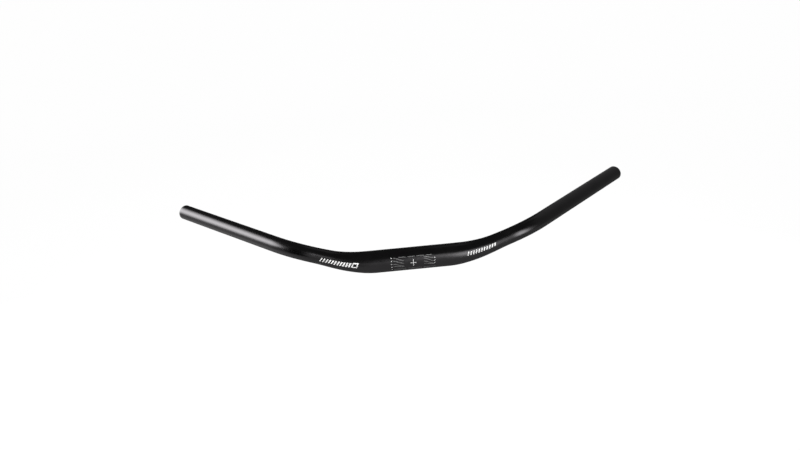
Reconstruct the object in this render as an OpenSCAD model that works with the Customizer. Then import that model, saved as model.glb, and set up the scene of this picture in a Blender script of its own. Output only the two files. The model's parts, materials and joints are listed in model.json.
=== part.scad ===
// Cruiser handlebar: one bent, tapered, hollow aluminium tube.
// The middle lies along X, the arms rise towards +Z and sweep back towards +Y.

/* [Middle] */
// Outside diameter of the middle, where a stem clamps it
clamp_d = 31.8; // [30:0.1:35]
// Length of the straight middle at its full diameter
clamp_len = 100; // [70:1:130]
// Wall of the middle
clamp_wall = 2.4; // [1.6:0.1:4]

/* [Rise] */
// Centre-line radius of the bend that lifts each arm
rise_r = 190; // [150:5:250]
// Angle of the bend that lifts each arm
rise_angle = 20; // [12:1:30]
// Straight length between the two bends
link_len = 25; // [15:1:60]

/* [Sweep] */
// Centre-line radius of the bend that turns each arm back
sweep_r = 85; // [60:1:140]
// Angle of the bend that turns each arm back
sweep_angle = 37; // [15:1:60]
// Dip of that bend's plane below level, seen along the arm
sweep_dip = 15; // [0:1:30]

/* [Arms] */
// Outside diameter of the arms, where grips and levers go
grip_d = 22.2; // [20:0.1:24]
// Wall of the arms
grip_wall = 2.2; // [1.4:0.1:4]
// Straight length of each arm, up to its open end
grip_len = 193; // [120:1:240]
// Chamfer that takes the burr off each open end
end_chamfer = 0.5; // [0.2:0.1:1]

/* [Taper] */
// Length over which the skin curves out of the middle
taper_start_blend = 20; // [5:1:40]
// Length over which the skin curves into the arm
taper_end_blend = 42; // [5:1:45]

/* [Smoothness] */
// Sides of the tapered skin
skin_sides = 48; // [32:4:64]
// Sides of the tapered bore
bore_sides = 32; // [24:4:48]
// Rings along each taper
taper_rings = 29; // [20:1:36]

/* [Hidden] */

anodised_black = [0.07, 0.07, 0.075];
round_sides = 96;

// Where the tapered length meets its neighbours it covers them by this much,
// and past them it plunges under their surface
cover = 0.02;
plunge_len = 4;
plunge_depth = 0.4;

// How far the middle runs on under the tapered length
middle_lap = 0.5;

// The tube narrows all the way from the middle to the bend that turns it back
rise_arc = rise_r * rise_angle * PI / 180;
taper_len = rise_arc + link_len;

// Angle that the centre line has turned through, u along it from the end of the middle
function turned(u) = max(0, min(u, rise_arc)) / rise_r * 180 / PI;

// Point of the centre line at u
function centre(u) =
    let (a = turned(u), before = min(u, 0), after = max(u - rise_arc, 0))
    [
        clamp_len / 2 + before + rise_r * sin(a) + after * cos(a),
        0,
        rise_r * (1 - cos(a)) + after * sin(a)
    ];

// A straight ramp from 0 that starts at u = 0, with a parabola of length blend across its corner
function ramp(u, blend) =
    u <= -blend / 2 ? 0 :
    u >= blend / 2 ? u :
    pow(u + blend / 2, 2) / (2 * blend);

// Radius of the tube at u, from one radius to the other along a cone with both corners blended
function taper(u, from_r, to_r) =
    let (
        corner_a = taper_start_blend / 2,
        corner_b = taper_len - taper_end_blend / 2,
        slope = (from_r - to_r) / (corner_b - corner_a)
    )
    from_r - slope * (ramp(u - corner_a, taper_start_blend) - ramp(u - corner_b, taper_end_blend));

// One ring of points round the centre line at u, whose flats lie r from it
function ring(u, r, sides) =
    let (a = turned(u), c = centre(u), corner_r = r / cos(180 / sides))
    [
        for (i = [0 : sides - 1])
            let (q = 360 * i / sides)
            c + corner_r * [-sin(a) * sin(q), cos(q), cos(a) * sin(q)]
    ];

// A solid swept along the rise and the link, as wide at each ring as the taper says
module tapered_rod(from_r, to_r, sides) {
    rings = taper_rings + 3;
    points = concat(
        ring(-plunge_len, from_r - plunge_depth, sides),
        [
            for (k = [0 : taper_rings])
                let (u = taper_len * k / taper_rings)
                each ring(u, taper(u, from_r, to_r) + cover, sides)
        ],
        ring(taper_len + plunge_len, to_r - plunge_depth, sides)
    );
    skin = [
        for (k = [0 : rings - 2], i = [0 : sides - 1])
            let (a = k * sides + i, b = k * sides + (i + 1) % sides)
            each [[a, b + sides, b], [a, a + sides, b + sides]]
    ];
    first_cap = [[for (i = [0 : sides - 1]) i]];
    last_cap = [[for (i = [sides - 1 : -1 : 0]) (rings - 1) * sides + i]];
    polyhedron(points = points, faces = concat(skin, first_cap, last_cap), convexity = 4);
}

// The middle, as a rod through both sides of the centre
module middle_rod(r) {
    rotate([0, 90, 0])
        cylinder(h = clamp_len + 2 * middle_lap, r = r, center = true, $fn = round_sides);
}

// Puts its children at the end of the link, with X along the tube and Y into the bend
module at_link_end() {
    translate(centre(taper_len))
        rotate([0, -rise_angle, 0])
            rotate([-sweep_dip, 0, 0])
                children();
}

// The bend that turns the arm back, and the straight grip that runs on from it.
// They are drawn round the bend's own centre, where they share one exact circle.
// flare is what the open end's chamfer adds to the radius.
module grip_rod(r, flare) {
    past = max(flare, 0);
    at_link_end()
        translate([0, sweep_r, 0])
            rotate([0, 0, sweep_angle - 90])
                rotate([180, 0, 0]) {
                    rotate_extrude(angle = sweep_angle, $fn = round_sides)
                        translate([sweep_r, 0])
                            circle(r = r, $fn = round_sides);
                    translate([sweep_r, 0, 0])
                        rotate([90, 0, 0])
                            rotate_extrude($fn = round_sides)
                                polygon([
                                    [0, 0],
                                    [r, 0],
                                    [r, grip_len - end_chamfer],
                                    [r + flare + past, grip_len + past],
                                    [0, grip_len + past]
                                ]);
                }
}

// One arm as a solid rod, from the end of the middle to its open end
module arm_rod(from_r, to_r, sides, flare) {
    tapered_rod(from_r, to_r, sides);
    grip_rod(to_r, flare);
}

// The middle and both arms as one solid rod
module bar_rod(from_r, to_r, sides, flare) {
    middle_rod(from_r);
    arm_rod(from_r, to_r, sides, flare);
    mirror([1, 0, 0])
        arm_rod(from_r, to_r, sides, flare);
}

module handlebar() {
    color(anodised_black)
        difference() {
            bar_rod(clamp_d / 2, grip_d / 2, skin_sides, -end_chamfer);
            bar_rod(clamp_d / 2 - clamp_wall, grip_d / 2 - grip_wall, bore_sides, end_chamfer);
        }
}

handlebar();
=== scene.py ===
# %% [markdown]
# A bent, tapered handlebar in satin black
#
# The object is one aluminium tube. A stem grips its thick middle, the arms narrow as they rise, and a
# second bend turns each arm back into a long straight grip. This lesson sweeps the tube as a fine
# mesh, lays its printed and etched marks on it, gives each finish a procedural material, and lights
# the bar so that soft highlights run along it.
#
# The packed part is loaded first, because it fixes the size and the place of everything.

# %% Load the packed bar
import json
import math

import bpy
from mathutils import Matrix, Vector


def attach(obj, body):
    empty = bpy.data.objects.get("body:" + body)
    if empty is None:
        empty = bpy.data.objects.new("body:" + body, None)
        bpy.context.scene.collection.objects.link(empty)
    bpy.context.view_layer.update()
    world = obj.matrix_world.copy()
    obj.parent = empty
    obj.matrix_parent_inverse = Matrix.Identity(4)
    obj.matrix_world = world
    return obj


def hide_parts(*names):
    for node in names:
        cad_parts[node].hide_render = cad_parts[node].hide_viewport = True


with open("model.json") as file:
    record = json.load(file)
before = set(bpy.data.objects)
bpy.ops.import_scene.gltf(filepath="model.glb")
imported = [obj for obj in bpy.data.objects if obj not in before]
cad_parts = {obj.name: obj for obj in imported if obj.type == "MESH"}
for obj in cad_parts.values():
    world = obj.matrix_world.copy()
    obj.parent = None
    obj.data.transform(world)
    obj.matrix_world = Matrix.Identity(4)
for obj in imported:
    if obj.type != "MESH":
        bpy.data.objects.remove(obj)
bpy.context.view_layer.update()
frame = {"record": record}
MM = 0.001

# %% [markdown]
# The camera stands in front of the bar and a little above it, and it is turned slightly about its
# own line of sight, so that the bar leans in the picture. A camera is placed most plainly by what it
# looks at, how far off it stands, and three angles. From these come its three axes, and Blender's
# camera looks along the last of them, backwards.

# %% Camera
aim = Vector((-13.695, 0, 50.718)) * MM
camera_distance = 700 * MM
camera_azimuth = math.radians(-2.094)
camera_elevation = math.radians(20.488)
camera_roll = math.radians(-4.645)
camera_lens = 23.139


def direction(azimuth, elevation):
    """The direction at an azimuth from the front, -Y, towards +X, and an elevation."""
    return Vector((
        math.sin(azimuth) * math.cos(elevation),
        -math.cos(azimuth) * math.cos(elevation),
        math.sin(elevation),
    ))


back = direction(camera_azimuth, camera_elevation)
level = (-back).cross(Vector((0, 0, 1))).normalized()
upright = level.cross(-back)
right = level * math.cos(camera_roll) + upright * math.sin(camera_roll)
up = upright * math.cos(camera_roll) - level * math.sin(camera_roll)

camera = bpy.data.objects.new("camera", bpy.data.cameras.new("camera"))
camera.matrix_world = (
    Matrix.Translation(aim + back * camera_distance)
    @ Matrix((right, up, back)).transposed().to_4x4()
)
camera.data.lens = camera_lens
camera.data.clip_start = 10 * MM
camera.data.clip_end = 100
bpy.context.scene.collection.objects.link(camera)
bpy.context.scene.camera = camera
print("camera at, mm:", [round(c / MM) for c in camera.matrix_world.translation])

# %% [markdown]
# A handlebar is made from a straight drawn tube. Its ends are swaged thinner, so that the middle
# keeps the diameter that a stem clamps while the arms take grips and levers, and then it is bent
# round dies. A few sizes say all of that. The diameters and lengths that other parts fit come from
# the packed record, and the bends and walls are named here.

# %% Sizes
mounts = {mount["name"]: mount["dims"] for mount in frame["record"]["mounts"]}
clamp_radius = mounts["stem_clamp"]["r_mm"] * MM
middle_half = mounts["stem_clamp"]["length_mm"] * MM / 2
grip_radius = mounts["right_grip"]["r_mm"] * MM
grip_length = mounts["right_grip"]["length_mm"] * MM
grip_bore = mounts["right_end_bore"]["r_mm"] * MM
clamp_wall = 2.4 * MM
clamp_bore = clamp_radius - clamp_wall

rise_radius = 190 * MM
rise_angle = math.radians(20)
link_length = 25 * MM
sweep_radius = 85 * MM
sweep_angle = math.radians(37)
sweep_dip = math.radians(15)

taper_start_blend = 20 * MM
taper_end_blend = 42 * MM
end_chamfer = 0.5 * MM
print("tube radii, mm:", [round(r / MM, 1) for r in (clamp_radius, clamp_bore, grip_radius, grip_bore)])

# %% [markdown]
# The centre line of each half is five stretches: the middle, the bend that lifts the arm, a short
# straight link, the bend that turns the arm back, and the grip. A curve object could carry the tube,
# but a function of the distance along the line is better here, because the marks need it as well:
# anything on the tube is then placed by how far along and how far round it lies.

# %% Centre line
across = Vector((1, 0, 0))
rise_way = Vector((0, 0, 1))
back_way = Vector((0, 1, 0))
link_top = Vector((-math.sin(rise_angle), 0, math.cos(rise_angle)))
sweep_way = back_way * math.cos(sweep_dip) - link_top * math.sin(sweep_dip)

rise_arc = rise_radius * rise_angle
sweep_arc = sweep_radius * sweep_angle
taper_length = rise_arc + link_length
half_length = middle_half + taper_length + sweep_arc + grip_length
stretches = [
    (middle_half, None, None),
    (rise_arc, rise_radius, rise_way),
    (link_length, None, None),
    (sweep_arc, sweep_radius, sweep_way),
    (grip_length, None, None),
]


def centre_line(s):
    """Point and heading s metres from the centre: positive to the right, negative to the left."""
    point, heading, left_over = Vector(), across.copy(), abs(s)
    for length, radius, towards in stretches:
        step = min(left_over, length)
        if radius is None:
            point += heading * step
        else:
            turned = step / radius
            point += radius * (math.sin(turned) * heading + (1 - math.cos(turned)) * towards)
            heading = math.cos(turned) * heading + math.sin(turned) * towards
        left_over -= step
    if s < 0:
        point.x, heading.y, heading.z = -point.x, -heading.y, -heading.z
    return point, heading


right_end = centre_line(half_length)[0]
print("right end, mm:", [round(c / MM, 1) for c in right_end])
print("half the tube's length, mm:", round(half_length / MM, 1))

# %% [markdown]
# Swaging leaves a cone between the two diameters, and its corners are eased where the tube flows out
# of the middle and into the arm. The skin and the bore both follow the same rule, one from the
# clamp's radius to the grip's and one from bore to bore, so the wall stays nearly even.

# %% Taper
taper_start = taper_start_blend / 2
taper_end = taper_length - taper_end_blend / 2


def ramp(u, blend):
    """Rises one for one from u = 0, with its corner rounded over the length blend."""
    if u <= -blend / 2:
        return 0
    if u >= blend / 2:
        return u
    return (u + blend / 2) ** 2 / (2 * blend)


def tapered(s, middle, arm):
    """The radius at s of a surface that has one radius in the middle and another along the arms."""
    u = abs(s) - middle_half
    run = ramp(u - taper_start, taper_start_blend) - ramp(u - taper_end, taper_end_blend)
    return middle - (middle - arm) * run / (taper_end - taper_start)


def skin_radius(s):
    """The radius of the outside of the tube at s."""
    return tapered(s, clamp_radius, grip_radius)


def bore_radius(s):
    """The radius of the hollow at s."""
    return tapered(s, clamp_bore, grip_bore)


for far in (0, 50, 100, 150):
    print("skin radius", far, "mm from the centre, mm:", round(skin_radius(far * MM) / MM, 2))

# %% [markdown]
# Each cross-section is a ring of points. Its first direction faces the front of the bar and its
# second faces up, both square to the tube, so an angle of 0 is the front and 90 degrees is the top.
# The same function places the rings of the tube and every point of the marks.

# %% Points on the tube
def tube_point(s, around, radius):
    """The point at s along the tube, at an angle around it, at a distance from its centre line."""
    point, heading = centre_line(s)
    top = (rise_way - heading * heading.z).normalized()
    front = heading.cross(top)
    return point + radius * (math.cos(around) * front + math.sin(around) * top)


print("front of the middle, mm:", [round(c / MM, 1) for c in tube_point(0, 0, clamp_radius)])

# %% [markdown]
# The end of a real tube is sawn off square and its two edges are chamfered, which leaves four
# corners in the outline of its wall. No machined corner is perfectly sharp, and a slightly rounded
# one catches the light, so each corner becomes two points close together. The outline runs from the
# skin, over the end and into the bore.

# %% Outline of an open end
corner_ease = 0.07 * MM
end_run_in = 1.2 * MM


def eased(outline, ease):
    """The outline with each inner corner cut by a short edge, ease away from it on either side."""
    points = [outline[0]]
    for before, corner, after in zip(outline, outline[1:], outline[2:]):
        for neighbour in (before, after):
            away = (neighbour - corner).normalized()
            points.append(corner + away * ease)
    points.append(outline[-1])
    return points


end_outline = eased([
    Vector((half_length - end_run_in, grip_radius)),
    Vector((half_length - end_chamfer, grip_radius)),
    Vector((half_length, grip_radius - end_chamfer)),
    Vector((half_length, grip_bore + end_chamfer)),
    Vector((half_length - end_chamfer, grip_bore)),
    Vector((half_length - end_run_in, grip_bore)),
], corner_ease)
print("outline of an end:", len(end_outline), "points")

# %% [markdown]
# Now the tube itself. The rings run along the skin from the left end to the right, round the right
# end, back along the bore and round the left end, so that the mesh closes on itself with no loose
# edge. Each point also keeps where it would lie if the tube were pulled straight. The materials read
# that, and so their grain follows the bends without a seam.

# %% The rings of the tube
ring_gap = 2.4 * MM
ring_sides = 96
SKIN, CUT, BORE = 0, 1, 2


def stations(limit, gap):
    """Evenly spaced places from -limit to limit, no further apart than gap."""
    steps = math.ceil(2 * limit / gap)
    return [limit * (2 * k / steps - 1) for k in range(steps + 1)]


inner = stations(half_length - end_run_in, ring_gap)[1:-1]
rings = [(s, skin_radius(s), SKIN) for s in inner]
rings += [(s, r, CUT) for s, r in end_outline]
rings += [(s, bore_radius(s), BORE) for s in reversed(inner)]
rings += [(-s, r, CUT) for s, r in reversed(end_outline)]
print("rings:", len(rings), "of", ring_sides, "points")

# %% [markdown]
# A mesh is built from plain lists of points and faces. The faces between two rings are quads, and
# the last ring joins the first.

# %% Sweep the tube
angles = [2 * math.pi * (k + 0.5) / ring_sides for k in range(ring_sides)]


def linked(name, points, faces):
    """A smooth mesh object from points and faces, in the scene."""
    mesh = bpy.data.meshes.new(name)
    mesh.from_pydata(points, [], faces)
    mesh.shade_smooth()
    piece = bpy.data.objects.new(name, mesh)
    bpy.context.scene.collection.objects.link(piece)
    return piece


def keep_straight_place(piece, places):
    """Stores each point's place on the tube pulled straight, for the materials to read."""
    attribute = piece.data.attributes.new("straight_place", "FLOAT_VECTOR", "POINT")
    attribute.data.foreach_set("vector", [c for place in places for c in place])


tube_points = [tube_point(s, angle, r) for s, r, part in rings for angle in angles]
ring_parts = [part for s, r, part in rings]
tube_faces = []
face_parts = []
for k, part in enumerate(ring_parts):
    after = (k + 1) % len(rings)
    joined = part if part == ring_parts[after] else CUT
    for i in range(ring_sides):
        j = (i + 1) % ring_sides
        tube_faces.append([
            k * ring_sides + i, k * ring_sides + j,
            after * ring_sides + j, after * ring_sides + i,
        ])
        face_parts.append(joined)

tube = linked("handlebar_tube", tube_points, tube_faces)
keep_straight_place(tube, [
    (s, r * math.cos(angle), r * math.sin(angle)) for s, r, part in rings for angle in angles
])
print("tube:", len(tube.data.polygons), "faces")

# %% [markdown]
# The long skin and the flat end meet at tight corners. Weighting each corner's normal by the size of
# its faces keeps the flats flat and leaves the turn of the light to the small faces between them.
# Which way the faces look is then tested on one of them: the front of the middle has to face -Y.

# %% Normals of the tube
tube.data.polygons.foreach_set("material_index", face_parts)
front_of_middle = Vector((0, -clamp_radius, 0))
front_face = min(tube.data.polygons, key=lambda face: (face.center - front_of_middle).length)
if front_face.normal.y > 0:
    tube.data.flip_normals()
tube.modifiers.new("weighted_normals", "WEIGHTED_NORMAL")
print("front face looks along", [round(c, 2) for c in front_face.normal])

# %% [markdown]
# The bar carries white printing on both arms and fine etched lines where the stem goes. Ink has a
# thickness, though only of hundredths of a millimetre, so each mark is a thin closed plate that
# follows the tube and reaches a little into it. A mark starts as a grid of places, along and around,
# and this cell turns such grids into plates.

# %% Plates laid on the tube
ink_thickness = 0.03 * MM
ink_root = 0.06 * MM


def plate(grid):
    """Points, straight places and faces of one closed plate over a grid of (along, around)."""
    rows, columns = len(grid), len(grid[0])
    points, places, faces = [], [], []
    for lift in (ink_thickness, -ink_root):
        for s, around in (place for row in grid for place in row):
            r = skin_radius(s) + lift
            points.append(tube_point(s, around, r))
            places.append((s, r * math.cos(around), r * math.sin(around)))
    below = rows * columns
    for i in range(rows - 1):
        for j in range(columns - 1):
            a = i * columns + j
            faces.append([a, a + 1, a + columns + 1, a + columns])
            faces.append([below + n for n in (a, a + columns, a + columns + 1, a + 1)])
    rim = list(range(columns))
    rim += [i * columns + columns - 1 for i in range(1, rows)]
    rim += [(rows - 1) * columns + j for j in range(columns - 2, -1, -1)]
    rim += [i * columns for i in range(rows - 2, 0, -1)]
    for a, b in zip(rim, rim[1:] + rim[:1]):
        faces.append([b, a, below + a, below + b])
    return points, places, faces


def mark(name, grids):
    """One piece made of many plates, flat-shaded so that their edges stay crisp."""
    points, places, faces = [], [], []
    for grid in grids:
        new_points, new_places, new_faces = plate(grid)
        faces += [[n + len(points) for n in face] for face in new_faces]
        points += new_points
        places += new_places
    piece = linked(name, points, faces)
    piece.data.shade_flat()
    keep_straight_place(piece, places)
    return piece


print("ink stands", ink_thickness / MM, "mm proud")

# %% [markdown]
# Three shapes make every mark: a leaning bar, a line along a curve, and a round dot. Each returns a
# grid. A thickness is one length whichever way the mark runs, as on a printer's flat stencil, so it is
# divided by the local radius where it lies round the tube.

# %% Shapes of the marks
widest_cell = 0.6 * MM
bar_rows = 9
dot_cells = 6
glance_ahead = 0.001


def leaning_bar(start, width, low, high, lean):
    """A bar of a given width that spans the angles low to high and leans along the tube."""
    columns = max(2, math.ceil(width / widest_cell) + 1)
    grid = []
    for i in range(bar_rows):
        up = i / (bar_rows - 1)
        grid.append([
            (start + width * j / (columns - 1) + lean * up, low + (high - low) * up)
            for j in range(columns)
        ])
    return grid


def line(path, thickness, steps):
    """A line of a given thickness along path(t), with t from 0 to 1, as two rows of places."""
    rows = [[], []]
    for k in range(steps + 1):
        t = k / steps
        s, around = path(t)
        ahead_s, ahead_around = path(t + glance_ahead)
        r = skin_radius(s)
        run, climb = ahead_s - s, (ahead_around - around) * r
        size = math.hypot(run, climb)
        for row, side in zip(rows, (-0.5, 0.5)):
            row.append((s - side * thickness * climb / size, around + side * thickness * run / size / r))
    return rows


def dot(s, around, radius):
    """A round dot, from a square grid whose edge is bent into a circle."""
    r = skin_radius(s)
    grid = []
    for i in range(dot_cells + 1):
        v = 2 * i / dot_cells - 1
        row = []
        for j in range(dot_cells + 1):
            u = 2 * j / dot_cells - 1
            along = radius * u * math.sqrt(1 - v * v / 2)
            up_the_side = radius * v * math.sqrt(1 - u * u / 2)
            row.append((s + along, around + up_the_side / r))
        grid.append(row)
    return grid


print("columns of a bar stand at most", widest_cell / MM, "mm apart")

# %% [markdown]
# Each arm carries a white print beside the clamp zone: a run of leaning strokes, evenly spaced, that
# grow thicker along the print. Ink has crisp edges, which a thin plate keeps however close one looks,
# while a painted texture would blur. One function draws a run, and each arm gives it its own place.

# %% White strokes on the arms
stroke_count = 11
stroke_pitch = 3.9 * MM
stroke_lean = 2.2 * MM
thinnest_stroke = 1.5 * MM


def run_of_strokes(start, low, high, thickest):
    """Leaning strokes to the right of start, between two angles, thinnest first."""
    grids = []
    for k in range(stroke_count):
        share = k / (stroke_count - 1)
        width = thinnest_stroke + (thickest - thinnest_stroke) * share
        grids.append(leaning_bar(start + k * stroke_pitch, width, low, high, stroke_lean))
    return grids


right_strokes = mark("right_white_strokes", run_of_strokes(
    start=75 * MM, low=math.radians(1), high=math.radians(22), thickest=2.2 * MM))
left_strokes = mark("left_white_strokes", run_of_strokes(
    start=-129 * MM, low=math.radians(-11), high=math.radians(16), thickest=2.6 * MM))
for strokes in (right_strokes, left_strokes):
    print(strokes.name, "has", len(strokes.data.polygons), "faces")

# %% [markdown]
# The print on the left ends in a small white lozenge with a dark window. It is made of the same
# leaning bars: two for its sides, and two short ones that close it below and above.

# %% White lozenge
def lozenge(start, width, low, high, lean, edge):
    """Four bars that frame a leaning window."""
    r = skin_radius(start)
    rim_angle = edge / r
    slope = lean / (high - low)
    return [
        leaning_bar(start, edge, low, high, lean),
        leaning_bar(start + width - edge, edge, low, high, lean),
        leaning_bar(start + edge, width - 2 * edge, low, low + rim_angle, slope * rim_angle),
        leaning_bar(start + edge + slope * (high - low - rim_angle), width - 2 * edge,
                    high - rim_angle, high, slope * rim_angle),
    ]


left_lozenge = mark("left_white_lozenge", lozenge(
    start=-85.5 * MM, width=8 * MM, low=math.radians(-11), high=math.radians(18),
    lean=2.4 * MM, edge=1.6 * MM))
print(left_lozenge.name, "has", len(left_lozenge.data.polygons), "faces")

# %% [markdown]
# The clamp zone is etched with a laser, which burns fine grey lines through the black skin. A cross
# marks the exact middle, so that the bar can be centred in its stem. Its two strokes are lines along
# straight paths, a little longer around the bar than along it.

# %% Etched centre cross
cross_line = 0.7 * MM
cross_across = 8.4 * MM
cross_high = 9.6 * MM
cross_at = math.radians(0.5)


def straight_line(s0, around0, s1, around1):
    """A path for line() from one place to another."""
    return lambda t: (s0 + (s1 - s0) * t, around0 + (around1 - around0) * t)


cross_reach = cross_high / 2 / clamp_radius
level_stroke = straight_line(-cross_across / 2, cross_at, cross_across / 2, cross_at)
upright_stroke = straight_line(0, cross_at - cross_reach, 0, cross_at + cross_reach)
cross = mark("etched_centre_cross", [
    line(level_stroke, thickness=cross_line, steps=12),
    line(upright_stroke, thickness=cross_line, steps=14),
])
print("cross:", round(cross_across / MM, 1), "by", round(cross_high / MM, 1), "mm")

# %% [markdown]
# Rippled lines on either side of the cross give the clamp something to bite on. Each line leaves one
# side level, falls in a smooth step and reaches the other side level again, so a smoothstep formula
# draws it from the two angles between which it falls.

# %% Etched ripples
ripple_line = 0.55 * MM
ripple_steps = 36
left_ripple_ends = (-27.5 * MM, -13 * MM)
right_ripple_ends = (14.5 * MM, 28 * MM)
left_falls = [(31, 17), (17, 2), (1, -13), (-12, -17)]
right_falls = [(27, 17), (18, 2), (3, -11), (-10, -16)]


def ripple(start, end, high, low):
    """A path that falls in a smooth step from one angle to another, given in degrees."""
    def path(t):
        step = t * t * (3 - 2 * t)
        return start + (end - start) * t, math.radians(high + (low - high) * step)
    return path


ripples = mark("etched_ripples", [
    line(ripple(*ends, *fall), ripple_line, ripple_steps)
    for ends, falls in ((left_ripple_ends, left_falls), (right_ripple_ends, right_falls))
    for fall in falls
])
print("ripples:", len(left_falls) + len(right_falls))

# %% [markdown]
# Thin broken lines close the zone above and below, and a column of round dots closes it at each end.
# They are written as one would mark them out on the tube: lines by their two ends in millimetres, and
# dots by their angles in degrees.

# %% Etched border lines and dots
border_line = 0.5 * MM
border_angle = math.radians(33)
high_dashes = [(-20, -10), (-7.5, 2.5), (5, 15), (17.5, 26.5)]
low_dashes = [(-27, -10), (-7, 11), (14, 31)]
dot_radius = 0.6 * MM
left_column, left_dot_angles = -30 * MM, (32, 17, 1, -16, -31)
right_column, right_dot_angles = 29.5 * MM, (17, 4, -10)


def border(dashes, around):
    """Lines along the tube at one angle, from a list of ends in mm."""
    return [
        line(straight_line(a * MM, around, b * MM, around), thickness=border_line, steps=16)
        for a, b in dashes
    ]


borders = mark("etched_borders", border(high_dashes, border_angle) + border(low_dashes, -border_angle))
dots = mark("etched_dots", [
    dot(column, math.radians(angle), dot_radius)
    for column, dot_angles in ((left_column, left_dot_angles), (right_column, right_dot_angles))
    for angle in dot_angles
])
print("border lines:", len(high_dashes) + len(low_dashes))
print("dots:", len(left_dot_angles) + len(right_dot_angles))

# %% [markdown]
# Two effects recur in the finishes, so each is a node group. The first is the grain that blasting
# with fine beads leaves before the metal is dyed: tiny dimples, and broad clouds where the blasting
# was a little heavier. Its outputs are plain values, and each material decides what to do with them.

# %% Node group for the blasted grain
def new_group(name, inputs, outputs):
    """An empty node group. inputs are (name, socket type, default) and outputs (name, socket type)."""
    group = bpy.data.node_groups.new(name, "ShaderNodeTree")
    for label, kind, default in inputs:
        socket = group.interface.new_socket(label, in_out="INPUT", socket_type=kind)
        if default is not None:
            socket.default_value = default
    for label, kind in outputs:
        group.interface.new_socket(label, in_out="OUTPUT", socket_type=kind)
    return group, group.nodes.new("NodeGroupInput"), group.nodes.new("NodeGroupOutput")


def math_node(tree, operation, a, b=0.0):
    """A Math node whose inputs are sockets or plain numbers. Some operations use only the first."""
    node = tree.nodes.new("ShaderNodeMath")
    node.operation = operation
    for socket, value in zip(node.inputs, (a, b)):
        if isinstance(value, (int, float)):
            socket.default_value = value
        else:
            tree.links.new(value, socket)
    return node.outputs[0]


def noise_node(tree, place, scale, detail, roughness):
    """A Noise Texture that reads a place. scale is a socket or a plain number."""
    node = tree.nodes.new("ShaderNodeTexNoise")
    tree.links.new(place, node.inputs["Vector"])
    if isinstance(scale, (int, float)):
        node.inputs["Scale"].default_value = scale
    else:
        tree.links.new(scale, node.inputs["Scale"])
    node.inputs["Detail"].default_value = detail
    node.inputs["Roughness"].default_value = roughness
    return node.outputs["Fac"]


grain_group, grain_in, grain_out = new_group(
    "blasted_grain",
    [("Place", "NodeSocketVector", None),
     ("Grain Size", "NodeSocketFloat", 0.3 * MM),
     ("Cloud Size", "NodeSocketFloat", 20 * MM)],
    [("Height", "NodeSocketFloat"), ("Cloud", "NodeSocketFloat")],
)
grain_scale = math_node(grain_group, "DIVIDE", 1.0, grain_in.outputs["Grain Size"])
cloud_scale = math_node(grain_group, "DIVIDE", 1.0, grain_in.outputs["Cloud Size"])
grain_height = noise_node(grain_group, grain_in.outputs["Place"], grain_scale, detail=2.0, roughness=0.55)
grain_cloud = noise_node(grain_group, grain_in.outputs["Place"], cloud_scale, detail=3.0, roughness=0.6)
grain_group.links.new(grain_height, grain_out.inputs["Height"])
grain_group.links.new(grain_cloud, grain_out.inputs["Cloud"])
print("group:", grain_group.name)

# %% [markdown]
# The second effect is fine parallel lines. A tube that has been drawn through a die keeps faint
# streaks along its length, strongest in the bore where nothing smooths them, and a turned end has
# rings. Noise that is stretched a great deal in one direction gives both: the group's place says
# which way the lines run, and its two sizes say how long and how close they are.

# %% Node group for the drawn lines
lines_group, lines_in, lines_out = new_group(
    "drawn_lines",
    [("Place", "NodeSocketVector", None),
     ("Line Length", "NodeSocketFloat", 60 * MM),
     ("Line Gap", "NodeSocketFloat", 0.3 * MM)],
    [("Height", "NodeSocketFloat")],
)
per_length = math_node(lines_group, "DIVIDE", 1.0, lines_in.outputs["Line Length"])
per_gap = math_node(lines_group, "DIVIDE", 1.0, lines_in.outputs["Line Gap"])
stretch = lines_group.nodes.new("ShaderNodeCombineXYZ")
for label, source in (("X", per_length), ("Y", per_gap), ("Z", per_gap)):
    lines_group.links.new(source, stretch.inputs[label])
stretched = lines_group.nodes.new("ShaderNodeVectorMath")
stretched.operation = "MULTIPLY"
lines_group.links.new(lines_in.outputs["Place"], stretched.inputs[0])
lines_group.links.new(stretch.outputs["Vector"], stretched.inputs[1])
line_height = noise_node(lines_group, stretched.outputs["Vector"], 1.0, detail=3.0, roughness=0.6)
lines_group.links.new(line_height, lines_out.inputs["Height"])
print("group:", lines_group.name)

# %% [markdown]
# Every finish starts from the same few nodes: a Principled shader, the place on the straightened
# tube, and the two groups. These helpers keep each material's own cell down to what makes it
# different. Values that are the same all over go straight onto the shader's sockets.

# %% Helpers for the finishes
noise_least, noise_most = 0.3, 0.7


def map_node(tree, value, start, end, at_start, at_end, interpolation="LINEAR"):
    """A value that goes from at_start to at_end while a socket goes from start to end."""
    node = tree.nodes.new("ShaderNodeMapRange")
    node.interpolation_type = interpolation
    tree.links.new(value, node.inputs["Value"])
    for label, number in (("From Min", start), ("From Max", end), ("To Min", at_start), ("To Max", at_end)):
        node.inputs[label].default_value = number
    return node.outputs["Result"]


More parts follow.
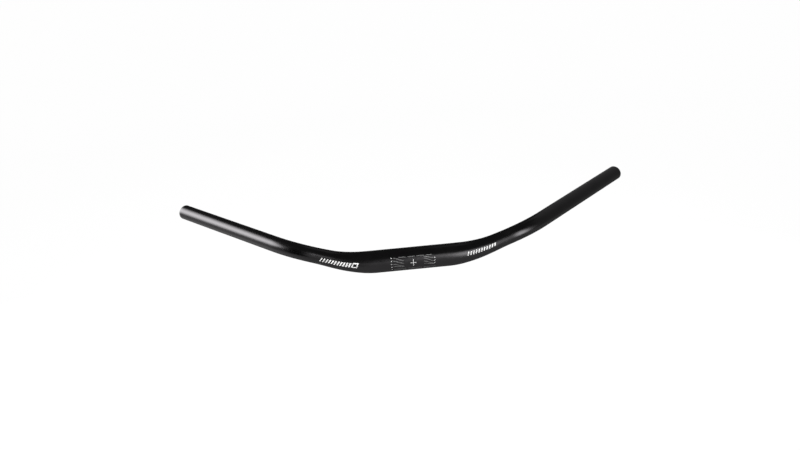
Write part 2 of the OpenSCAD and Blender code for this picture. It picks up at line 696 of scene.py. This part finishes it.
class Finish:
    """A new material, with its shader and the place that its texture is made from."""

    def __init__(self, name, metallic):
        self.material = bpy.data.materials.new(name)
        self.material.use_nodes = True
        self.tree = self.material.node_tree
        self.shader = self.tree.nodes["Principled BSDF"]
        self.shader.inputs["Metallic"].default_value = metallic
        attribute = self.tree.nodes.new("ShaderNodeAttribute")
        attribute.attribute_name = "straight_place"
        self.place = attribute.outputs["Vector"]

    def group(self, group, place, **sizes):
        """Places a node group. Its sizes are given by name, with _ for a space."""
        node = self.tree.nodes.new("ShaderNodeGroup")
        node.node_tree = group
        self.tree.links.new(place, node.inputs["Place"])
        for name, value in sizes.items():
            node.inputs[name.replace("_", " ")].default_value = value
        return node.outputs

    def between(self, factor, low, high):
        """A value that goes from low to high as a noise goes from its usual least to its usual most."""
        return map_node(self.tree, factor, noise_least, noise_most, low, high)

    def colour_between(self, factor, dark, light):
        """Feeds Base Color with a mix of two colours."""
        node = self.tree.nodes.new("ShaderNodeMix")
        node.data_type = "RGBA"
        self.tree.links.new(self.between(factor, 0.0, 1.0), node.inputs["Factor"])
        node.inputs["A"].default_value = (*dark, 1)
        node.inputs["B"].default_value = (*light, 1)
        self.tree.links.new(node.outputs["Result"], self.shader.inputs["Base Color"])

    def roughness_between(self, factor, low, high):
        """Feeds Roughness with a value between two."""
        self.tree.links.new(self.between(factor, low, high), self.shader.inputs["Roughness"])

    def bump(self, height, depth, strength):
        """Feeds Normal with bumps of a real depth."""
        node = self.tree.nodes.new("ShaderNodeBump")
        node.inputs["Distance"].default_value = depth
        node.inputs["Strength"].default_value = strength
        self.tree.links.new(height, node.inputs["Height"])
        self.tree.links.new(node.outputs["Normal"], self.shader.inputs["Normal"])


print("a finish offers:", [name for name in vars(Finish) if not name.startswith("_")])

# %% [markdown]
# Black anodising is a glassy layer grown from the metal itself and dyed right through. It has no
# paint-like body: almost all that the eye sees is a soft reflection of the room, about a twentieth as
# bright as in a mirror. A metallic shader with a very dark colour gives exactly that, and its tint
# holds back the glare at grazing angles, as the fine roughness does on the real surface. The grain
# and the faint drawn lines blur the highlights a little unevenly.

# %% Satin black anodising on the skin
skin_black = Finish("satin_black_anodised", metallic=1.0)
skin_grain = skin_black.group(grain_group, skin_black.place, Grain_Size=0.25 * MM, Cloud_Size=16 * MM)
skin_lines = skin_black.group(lines_group, skin_black.place, Line_Length=45 * MM, Line_Gap=0.35 * MM)
grain_share, lines_share = 0.7, 0.3
skin_texture = math_node(
    skin_black.tree, "ADD",
    math_node(skin_black.tree, "MULTIPLY", skin_grain["Height"], grain_share),
    math_node(skin_black.tree, "MULTIPLY", skin_lines["Height"], lines_share),
)
skin_black.colour_between(skin_grain["Cloud"], (0.047, 0.0456, 0.0472), (0.053, 0.0514, 0.053))
skin_black.roughness_between(skin_grain["Cloud"], 0.22, 0.27)
skin_black.bump(skin_texture, depth=0.0015 * MM, strength=0.5)
skin_black.shader.inputs["Specular Tint"].default_value = (0.75, 0.75, 0.75, 1)
print("finish:", skin_black.material.name)

# %% [markdown]
# Inside the bore the dye is the same, but nothing was blasted or polished there: the streaks of the
# drawing die stand out and the surface is duller.

# %% Bore
bore_black = Finish("drawn_black_bore", metallic=1.0)
bore_grain = bore_black.group(grain_group, bore_black.place, Grain_Size=0.5 * MM, Cloud_Size=9 * MM)
bore_lines = bore_black.group(lines_group, bore_black.place, Line_Length=30 * MM, Line_Gap=0.6 * MM)
bore_black.colour_between(bore_grain["Cloud"], (0.032, 0.032, 0.034), (0.048, 0.047, 0.048))
bore_black.roughness_between(bore_lines["Height"], 0.42, 0.62)
bore_black.bump(bore_lines["Height"], depth=0.03 * MM, strength=0.8)
print("finish:", bore_black.material.name)

# %% [markdown]
# At the ends the wall was cut before anodising, so the cut face is black too, with the fine rings of
# the tool. Rings are lines that depend only on the distance from the tube's axis, so that distance is
# worked out from the place and takes the lines' second direction.

# %% Cut ends
cut_black = Finish("turned_black_end", metallic=1.0)
cut_apart = cut_black.tree.nodes.new("ShaderNodeSeparateXYZ")
cut_black.tree.links.new(cut_black.place, cut_apart.inputs["Vector"])
cut_radius = math_node(
    cut_black.tree, "SQRT",
    math_node(
        cut_black.tree, "ADD",
        math_node(cut_black.tree, "POWER", cut_apart.outputs["Y"], 2.0),
        math_node(cut_black.tree, "POWER", cut_apart.outputs["Z"], 2.0),
    ))
cut_place = cut_black.tree.nodes.new("ShaderNodeCombineXYZ")
cut_black.tree.links.new(cut_radius, cut_place.inputs["Y"])
cut_rings = cut_black.group(lines_group, cut_place.outputs["Vector"], Line_Gap=0.09 * MM)
cut_black.colour_between(cut_rings["Height"], (0.05, 0.05, 0.052), (0.076, 0.075, 0.076))
cut_black.roughness_between(cut_rings["Height"], 0.26, 0.42)
cut_black.bump(cut_rings["Height"], depth=0.012 * MM, strength=0.7)

for finish in (skin_black, cut_black, bore_black):
    tube.data.materials.append(finish.material)
print("finishes of the tube:", [material.name for material in tube.data.materials])

# %% [markdown]
# The white print is a thin opaque ink. It is a plain dielectric, slightly matt, and it is a touch
# thinner in places, which shows as faint grey clouds.

# %% White ink
white_ink = Finish("white_print_ink", metallic=0.0)
ink_grain = white_ink.group(grain_group, white_ink.place, Grain_Size=0.2 * MM, Cloud_Size=2.5 * MM)
white_ink.colour_between(ink_grain["Cloud"], (0.74, 0.74, 0.73), (0.86, 0.86, 0.85))
white_ink.roughness_between(ink_grain["Cloud"], 0.42, 0.55)
white_ink.bump(ink_grain["Height"], depth=0.006 * MM, strength=0.5)

for piece in (right_strokes, left_strokes, left_lozenge):
    piece.data.materials.append(white_ink.material)
print("finish:", white_ink.material.name)

# %% [markdown]
# The etched lines are another thing: the laser leaves a rough crust of metal that scatters the light.
# The fine ripples and borders look grey, and the cross and the dots nearly white, so there are two
# finishes of one kind, and one function makes both.

# %% Laser etching
def etching(name, dark, light, roughest):
    """A rough matt finish whose grey clouds lie between two brightnesses."""
    finish = Finish(name, metallic=0.0)
    crust = finish.group(grain_group, finish.place, Grain_Size=0.15 * MM, Cloud_Size=1.5 * MM)
    finish.colour_between(crust["Cloud"], (dark, dark, dark), (light, light, light))
    finish.roughness_between(crust["Height"], 0.5, roughest)
    finish.bump(crust["Height"], depth=0.02 * MM, strength=0.8)
    return finish


etched_grey = etching("laser_etched_grey", dark=0.12, light=0.26, roughest=0.75)
etched_bright = etching("laser_etched_bright", dark=0.66, light=0.82, roughest=0.7)
for piece in (ripples, borders):
    piece.data.materials.append(etched_grey.material)
for piece in (cross, dots):
    piece.data.materials.append(etched_bright.material)
print("finishes:", etched_grey.material.name, etched_bright.material.name)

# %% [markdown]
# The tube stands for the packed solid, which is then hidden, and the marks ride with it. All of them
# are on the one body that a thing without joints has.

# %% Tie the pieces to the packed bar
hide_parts("handlebar")
for piece in (tube, right_strokes, left_strokes, left_lozenge, cross, ripples, borders, dots):
    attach(piece, "root")

# %% [markdown]
# A black satin tube shows nothing but its surroundings, so the light is the look. The floor is white
# paper far below, and its painted glow in reflections gives the underside of the bar its even grey.
# It turns up through a quarter circle into a wall all round, so that no edge shows behind the bar.
# Its outline is a short list of radii and heights in metres, and turning that outline round the
# centre gives the mesh.

# %% White floor
floor_depth = 0.9
floor_radius = 8.0
cove_radius = 0.8
wall_height = 3.6
floor_sides = 128
floor_rings = 10
cove_rings = 10

profile = [(floor_radius * k / floor_rings, 0.0) for k in range(1, floor_rings + 1)]
profile += [
    (floor_radius + cove_radius * math.sin(a), cove_radius * (1 - math.cos(a)))
    for a in (math.pi / 2 * k / cove_rings for k in range(1, cove_rings + 1))
]
profile.append((floor_radius + cove_radius, wall_height))
floor_points = [(0, 0, -floor_depth)]
floor_points += [
    (r * math.cos(a), r * math.sin(a), h - floor_depth)
    for r, h in profile
    for a in (2 * math.pi * k / floor_sides for k in range(floor_sides))
]
floor_faces = [[0, 1 + k, 1 + (k + 1) % floor_sides] for k in range(floor_sides)]
for n in range(len(profile) - 1):
    for k in range(floor_sides):
        a, b = 1 + n * floor_sides + k, 1 + n * floor_sides + (k + 1) % floor_sides
        floor_faces.append([a, a + floor_sides, b + floor_sides, b])
floor = linked("floor", floor_points, floor_faces)
print("floor:", len(floor_faces), "faces,", floor_depth, "m below the bar")

# %% [markdown]
# The paper has two tasks. To the camera it is plain white, and a black bar wants it dim and uneven in
# its reflections. So its own colour is nearly black, which only carries the bar's faint shadow, and
# the rest is light that it gives off. A function makes such a matt material, since the cards that
# follow are of the same kind.

# %% White paper
def matt(name, grey):
    """A matt grey material with no shine, and its shader, which is ready to glow white."""
    material = bpy.data.materials.new(name)
    material.use_nodes = True
    shader = material.node_tree.nodes["Principled BSDF"]
    shader.inputs["Base Color"].default_value = (grey, grey, grey, 1)
    shader.inputs["Roughness"].default_value = 1.0
    shader.inputs["Specular IOR Level"].default_value = 0.0
    shader.inputs["Emission Color"].default_value = (1, 1, 1, 1)
    return material, shader


paper_grey = 0.04
paper, paper_shader = matt("white_paper", paper_grey)
floor.data.materials.append(paper)
print("material:", paper.name, "of grey", paper_grey)

# %% [markdown]
# How much light the paper gives off depends on the kind of ray that looks at it. The camera sees
# white. What a reflection sees is painted light and shade: a glow that fades from the front of the
# bar to the back, which darkens the underside of the tube towards its far edge, a painted pool of
# light on the left, under the large soft box, and a painted shade that dims the wall with its height.

# %% Glow of the paper
paper_white = 0.985
glow_in_front, glow_behind = 0.47, 0.15
fade_from, fade_to = -0.7, 1.3
pool_centre = (-1.7, 0.35, -floor_depth)
pool_reach = 1.6
painted_pool_glow = 0.8
wall_fades_from, wall_fades_to = 0.8, 1.7
wall_share_high_up = 0.18

paper_tree = paper.node_tree
where = paper_tree.nodes.new("ShaderNodeNewGeometry").outputs["Position"]
where_apart = paper_tree.nodes.new("ShaderNodeSeparateXYZ")
paper_tree.links.new(where, where_apart.inputs["Vector"])
# Painted shade: the glow that reflections see fades from the front of the bar to the back.
front_to_back = map_node(
    paper_tree, where_apart.outputs["Y"], fade_from, fade_to, glow_in_front, glow_behind, "SMOOTHSTEP")
# Painted shade: the wall's glow in reflections dims with its height.
wall_share = map_node(
    paper_tree, where_apart.outputs["Z"], wall_fades_from, wall_fades_to, 1.0, wall_share_high_up)

# Painted pool of light on the left, under the large soft box, seen only in reflections.
from_pool = paper_tree.nodes.new("ShaderNodeVectorMath")
from_pool.operation = "DISTANCE"
paper_tree.links.new(where, from_pool.inputs[0])
from_pool.inputs[1].default_value = pool_centre
painted_light_pool = map_node(paper_tree, from_pool.outputs["Value"], 0.0, pool_reach, painted_pool_glow, 0.0, "SMOOTHSTEP")

rays = paper_tree.nodes.new("ShaderNodeLightPath").outputs
reflecting = math_node(paper_tree, "ADD", rays["Is Glossy Ray"], rays["Is Transmission Ray"])
floor_glow = math_node(paper_tree, "ADD", front_to_back, painted_light_pool)
reflected_glow = math_node(paper_tree, "MULTIPLY", floor_glow, wall_share)
paper_tree.links.new(
    math_node(
        paper_tree, "ADD",
        math_node(paper_tree, "MULTIPLY", rays["Is Camera Ray"], paper_white),
        math_node(paper_tree, "MULTIPLY", reflecting, reflected_glow),
    ), paper_shader.inputs["Emission Strength"])
print("paper glows:", paper_white, "to the camera,", glow_in_front, "to", glow_behind, "in reflections")

# %% [markdown]
# Two soft boxes make the highlights: a large one far to the left, which runs along the left arm, and
# a smaller one in front, a little to the right, which glows on the middle. A real soft box is
# brightest at its centre, so each lamp fades towards its edge: its parametric place runs from 0 to 1
# both ways, is moved to run from -1 to 1, and tells how far off centre a point lies. The brightness is
# what a mirror would show, where 1 is white, and the size is the angle that it fills from the bar.

# %% Soft boxes
def hung(lamp, azimuth, elevation, distance, lean=0):
    """The lamp as an object that faces the bar, its angles in degrees."""
    box = bpy.data.objects.new(lamp.name, lamp)
    box.location = direction(math.radians(azimuth), math.radians(elevation)) * distance
    facing = box.location.to_track_quat("Z", "Y").to_matrix()
    box.rotation_euler = (facing @ Matrix.Rotation(math.radians(lean), 3, "Z")).to_euler()
    bpy.context.scene.collection.objects.link(box)
    return box


def soft_box(name, azimuth, elevation, distance, wide, high, lean, brightness, fade):
    """A lamp of a given width and height in degrees. fade says how fast it dims off centre."""
    lamp = bpy.data.lights.new(name, "AREA")
    lamp.shape = "RECTANGLE"
    lamp.size = 2 * distance * math.tan(math.radians(wide / 2))
    lamp.size_y = 2 * distance * math.tan(math.radians(high / 2))
    lamp.energy = brightness * math.pi * lamp.size * lamp.size_y
    lamp.use_nodes = True
    tree = lamp.node_tree
    surface = tree.nodes.new("ShaderNodeNewGeometry")
    centred = tree.nodes.new("ShaderNodeVectorMath")
    centred.operation = "MULTIPLY_ADD"
    centred.inputs[1].default_value = (2, 2, 0)
    centred.inputs[2].default_value = (-1, -1, 0)
    tree.links.new(surface.outputs["Parametric"], centred.inputs[0])
    off_centre = tree.nodes.new("ShaderNodeVectorMath")
    off_centre.operation = "DOT_PRODUCT"
    tree.links.new(centred.outputs["Vector"], off_centre.inputs[0])
    tree.links.new(centred.outputs["Vector"], off_centre.inputs[1])
    inside = math_node(tree, "MAXIMUM", math_node(tree, "SUBTRACT", 1.0, off_centre.outputs["Value"]), 0.0)
    tree.links.new(math_node(tree, "POWER", inside, fade), tree.nodes["Emission"].inputs["Strength"])
    return hung(lamp, azimuth, elevation, distance, lean)


left_box = soft_box(
    "left_soft_box", azimuth=-91, elevation=27, distance=2.6, wide=82, high=58, lean=0,
    brightness=11.5, fade=1.7)
front_box = soft_box(
    "front_soft_box", azimuth=27, elevation=3, distance=2.6, wide=33, high=80, lean=25,
    brightness=7.1, fade=1.6)
for box in (left_box, front_box):
    print(box.name, "is", round(box.data.size, 2), "by", round(box.data.size_y, 2), "m")

# %% [markdown]
# Cards stand round the bar, where the camera can't see them, and shape what it reflects. They are
# dark felt, and all but the black one glow, though they are no lamps: painted light that the bar
# reflects. A black one to the left of the camera ends the highlight of the left box cleanly, and a
# glowing one hangs in front. One on the left carries the light of its box down to the floor with a
# painted glow, and a dimly glowing one closes the right side. A long glowing one, low behind the bar,
# draws a painted line of light along its back. A card's glow changes from one end to the other, so
# each point of its mesh keeps its own.

# %% Cards
card_steps = 12
# Dark felt whose emission, read from each card's glow, is painted light.
glowing_felt, glowing_felt_shader = matt("glowing_card_felt", 0.01)
card_glow = glowing_felt.node_tree.nodes.new("ShaderNodeAttribute")
card_glow.attribute_name = "glow"
glowing_felt.node_tree.links.new(card_glow.outputs["Fac"], glowing_felt_shader.inputs["Emission Strength"])


def curved_card(name, azimuths, elevations, distance, glows):
    """A card on part of a sphere round the bar, its azimuths and elevations in degrees."""
    places, point_glows = [], []
    for i in range(card_steps + 1):
        azimuth = azimuths[0] + (azimuths[1] - azimuths[0]) * i / card_steps
        stretch, share = divmod(i * (len(glows) - 1) / card_steps, 1)
        before, after = glows[int(stretch)], glows[min(int(stretch) + 1, len(glows) - 1)]
        for j in range(card_steps + 1):
            elevation = elevations[0] + (elevations[1] - elevations[0]) * j / card_steps
            places.append(direction(math.radians(azimuth), math.radians(elevation)) * distance)
            point_glows.append(before + (after - before) * share)
    faces = [
        [n, n + 1, n + card_steps + 2, n + card_steps + 1]
        for n in (i * (card_steps + 1) + j for i in range(card_steps) for j in range(card_steps))
    ]
    card = linked(name, places, faces)
    card.visible_camera = False
    card.data.attributes.new("glow", "FLOAT", "POINT").data.foreach_set("value", point_glows)
    card.data.materials.append(glowing_felt)
    return card


cards = [
    curved_card("black_card", azimuths=(-50, -14), elevations=(-22, 45), distance=2.4, glows=(0.0, 0.0)),
    curved_card("front_card", azimuths=(-11, 16), elevations=(-16, 14), distance=3.2, glows=(0.64, 0.43)),
    curved_card("left_card", azimuths=(-135, -52), elevations=(-18, 2), distance=2.9,
                glows=(0.3, 0.8, 0.95, 0.6, 0.2)),
    curved_card("right_card", azimuths=(54, 165), elevations=(-18, 65), distance=2.8,
                glows=(0.18, 0.21, 0.3, 0.34, 0.34)),
    curved_card("back_card", azimuths=(130, 232), elevations=(-17, -2), distance=3.0,
                glows=(0.5, 1.6, 1.6, 0.5)),
]
print("cards:", [card.name for card in cards])

# %% [markdown]
# The rest of the studio is dim, which is why the top of the bar is nearly black. One more lamp from
# above lights the floor and the print at a plain level and is kept out of reflections.

# %% Fill light and room
fill = bpy.data.lights.new("overhead_fill", "AREA")
fill.shape = "DISK"
fill.size = 3.0
fill.energy = 75
fill_box = hung(fill, azimuth=-10, elevation=62, distance=3.0)
fill_box.visible_glossy = False

room_grey = 0.085
room = bpy.data.worlds.new("dim_room")
room.use_nodes = True
room.node_tree.nodes["Background"].inputs["Color"].default_value = (room_grey, room_grey, room_grey, 1)
bpy.context.scene.world = room
bpy.context.scene.view_settings.view_transform = "Standard"
print("fill energy:", fill.energy, "W, room grey:", room_grey)

# %% [markdown]

# %% [markdown]
# The scene is complete, for whatever runs the script to render or export it.
